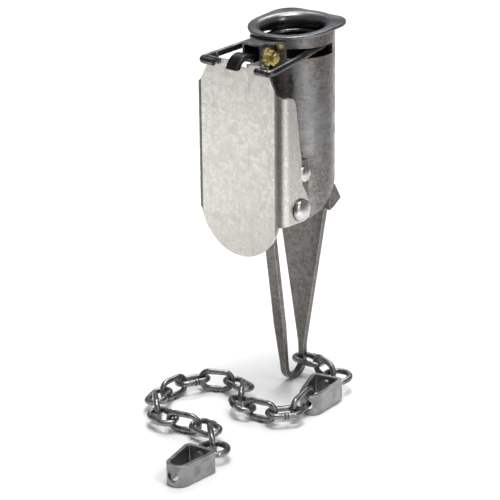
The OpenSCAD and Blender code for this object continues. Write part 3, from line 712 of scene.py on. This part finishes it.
@dataclass
class WeldSeam:
    """Two thin rings of weld flash round one straight side of a chain link, in millimetres."""

    wire: float = 1.9
    half_width: float = 1.1
    bead: float = 0.34
    offset: float = 5.65
    sides: int = 8
    steps: int = 28
    rounds: int = 4
    slice_half: float = 1.5

    def axes(self, node: bpy.types.Object) -> tuple[Vector, Vector, Vector]:
        """Finds where a link's welded side lies.

        Args:
            node: The link's CAD object.

        Returns:
            The middle of the welded side, the direction along it and the direction out of the link.
        """
        points = [v.co.copy() for v in node.data.vertices]
        middle = sum(points, Vector()) / len(points)
        along = (max(points, key=lambda p: (p - middle).length) - middle).normalized()
        for _ in range(self.rounds):
            along = sum(((p - middle) * (p - middle).dot(along) for p in points), Vector()).normalized()
        flat = [(p - middle) - along * (p - middle).dot(along) for p in points]
        out = max(flat, key=lambda p: p.length).normalized()
        for _ in range(self.rounds):
            out = sum((p * p.dot(out) for p in flat), Vector()).normalized()
        low = min((p - middle).dot(along) for p in points)
        high = max((p - middle).dot(along) for p in points)
        middle += along * (low + high) / 2
        waist = [p - middle for p in points if abs((p - middle).dot(along)) < self.slice_half * MM]
        reach, back = (max(sign * p.dot(out) for p in waist) for sign in (1.0, -1.0))
        return middle, along, out if reach > back else -out

    def build(self, shop: Workshop, link: str) -> None:
        """Spins both rings round the link's wire.

        Args:
            shop: The workshop that makes and finishes the pieces.
            link: The link's CAD node.
        """
        middle, along, out = self.axes(shop.nodes[link])
        centre = middle + out * self.offset * MM
        turn = Matrix((out, along, out.cross(along))).transposed().to_4x4()
        mesh = bmesh.new()
        for side in (-1.0, 1.0):
            base = centre + along * side * self.half_width * MM
            place = Matrix.Translation(base + out * self.wire * MM) @ turn
            ring = bmesh.ops.create_circle(mesh, cap_ends=False, segments=self.sides, radius=self.bead * MM,
                                           matrix=place)["verts"]
            loop = list({edge for vert in ring for edge in vert.link_edges})
            bmesh.ops.spin(mesh, geom=ring + loop, cent=base, axis=along, angle=math.tau, steps=self.steps,
                           use_merge=True)
        bmesh.ops.remove_doubles(mesh, verts=mesh.verts, dist=MERGE)
        bmesh.ops.recalc_face_normals(mesh, faces=mesh.faces)
        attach(shop.piece(f"{link}_weld", mesh, WELD, Slot.CHAIN), shop.body_of[link])


@dataclass
class GroundChain:
    """The chain's links with their weld seams, and the two swivels, with box_edge in millimetres."""

    links: int = 17
    box_edge: float = 0.8
    swivels: tuple[int, ...] = (1, 2)
    seam: WeldSeam = field(default_factory=WeldSeam)

    def build(self, shop: Workshop) -> None:
        """Dresses the links with their seams, then the swivels.

        Args:
            shop: The workshop that makes and finishes the pieces.
        """
        for number in range(1, self.links + 1):
            shop.keep(f"link_{number:02d}", CHAIN)
            self.seam.build(shop, f"link_{number:02d}")
        for number in self.swivels:
            shop.keep(f"swivel_eye_{number}", CHAIN)
            shop.soften(f"swivel_box_{number}", SWIVEL, Slot.SWIVEL, self.box_edge)


@dataclass
class Lamp:
    """One soft area light aimed at a point of the trap or the floor, with its sizes in metres."""

    name: str
    place: Point
    size: Pair
    watts: float
    aim: Point = (0.0, 0.0, 0.125)
    spread: float = 180.0

    def build(self) -> None:
        """Hangs the light and turns it to its aim."""
        data = bpy.data.lights.new(self.name, "AREA")
        data.shape = "RECTANGLE"
        data.size, data.size_y = self.size
        data.energy = self.watts
        data.spread = math.radians(self.spread)
        lamp = bpy.data.objects.new(self.name, data)
        lamp.location = self.place
        lamp.rotation_mode = "QUATERNION"
        lamp.rotation_quaternion = (Vector(self.aim) - Vector(self.place)).to_track_quat("-Z", "Y")
        bpy.context.scene.collection.objects.link(lamp)


@dataclass
class Studio:
    """Pale floor, soft lights and the camera at the photograph's angle.

    Lengths are in metres, but lens, sensor and cloud size in millimetres, and angles in degrees.
    """

    azimuth: float = 40.0
    elevation: float = 18.83
    distance: float = 1.4396
    lens: float = 159.88
    aim_height: float = 0.125
    aim_right: float = -0.0281
    aim_up: float = -0.0325
    roll: float = -0.6
    sensor: float = 36.0
    floor_size: float = 8.0
    floor_drop: float = 0.0002
    floor_dark: Colour = (0.90, 0.90, 0.90)
    floor_pale: Colour = (0.92, 0.92, 0.92)
    floor_rough: float = 0.8
    cloud_size: float = 300.0
    cloud_noise: Pair = (3.0, 0.5)
    cloud_band: Pair = (0.3, 0.7)
    room: Colour = (0.95, 0.97, 1.0)
    room_strength: float = 0.26
    lamps: list[Lamp] = field(default_factory=lambda: [
        Lamp("key_left", (-0.62, -0.60, 1.1), (0.25, 0.25), 1.4, (-0.48, -0.46, 0.0), 44.0),
        Lamp("pool_right", (0.8, -0.05, 1.0), (0.25, 0.25), 1.3, (0.5, -0.08, 0.0), 48.0),
        Lamp("strip_right", (1.1, -0.3, 0.5), (0.16, 0.8), 2.4),
        Lamp("back_wash", (-0.62, 0.9, 1.5), (1.1, 1.1), 10.5, (-0.5, 0.66, 0.0), 105.0),
        Lamp("top", (0.1, -0.1, 1.4), (0.5, 0.5), 1.9, (-0.08, 0.16, 0.0), 66.0),
    ])

    def camera(self) -> None:
        """Sets the camera on the fitted viewing line, aimed so that it needs no shift."""
        a, e = math.radians(self.azimuth), math.radians(self.elevation)
        back = Vector((math.sin(a) * math.cos(e), -math.cos(a) * math.cos(e), math.sin(e)))
        right = Vector((math.cos(a), math.sin(a), 0.0))
        up = back.cross(right)
        centre = Vector((0.0, 0.0, self.aim_height))
        data = bpy.data.cameras.new("photo_camera")
        data.lens = self.lens
        data.sensor_width = self.sensor
        camera = bpy.data.objects.new("photo_camera", data)
        camera.location = centre + back * self.distance
        aim = centre + right * self.aim_right + up * self.aim_up
        camera.rotation_mode = "QUATERNION"
        level = (aim - camera.location).to_track_quat("-Z", "Y")
        camera.rotation_quaternion = level @ Quaternion((0.0, 0.0, 1.0), math.radians(self.roll))
        bpy.context.scene.collection.objects.link(camera)
        bpy.context.scene.camera = camera

    def floor(self) -> None:
        """Lays a plain pale floor under the part."""
        mesh = bmesh.new()
        bmesh.ops.create_grid(mesh, x_segments=1, y_segments=1, size=self.floor_size / 2)
        bmesh.ops.translate(mesh, verts=mesh.verts, vec=(0.0, 0.0, CAD_BOX[0].z - self.floor_drop))
        data = bpy.data.meshes.new("pale_floor")
        mesh.to_mesh(data)
        mesh.free()
        floor = bpy.data.objects.new("pale_floor", data)
        bpy.context.scene.collection.objects.link(floor)
        paper = ShaderSheet("pale_floor")
        clouds = paper.band(paper.noise(self.cloud_size, *self.cloud_noise), *self.cloud_band)
        tone = paper.mix(clouds, self.floor_dark, self.floor_pale)
        paper.feed(tone, paper.shader.inputs["Base Color"])
        paper.shader.inputs["Roughness"].default_value = self.floor_rough
        data.materials.append(paper.material)

    def build(self) -> None:
        """Sets camera, floor, lights and the pale surroundings."""
        self.camera()
        self.floor()
        for lamp in self.lamps:
            lamp.build()
        world = bpy.data.worlds.new("pale_room")
        world.use_nodes = True
        ground = world.node_tree.nodes["Background"]
        ground.inputs["Color"].default_value = (*self.room, 1.0)
        ground.inputs["Strength"].default_value = self.room_strength
        bpy.context.scene.world = world
        bpy.context.scene.view_settings.view_transform = "Standard"
        LOG.info("studio set with %d lamps", len(self.lamps))


def main() -> None:
    """Builds the studio, then each sub-assembly in order."""
    logging.basicConfig(level=logging.INFO, format="%(name)s: %(message)s")
    Studio().build()
    shop = Workshop()
    for assembly in (TubeAssembly(), TriggerAssembly(), LeverAssembly(), BailWire(), GroundChain()):
        assembly.build(shop)


if __name__ == "__main__":
    main()
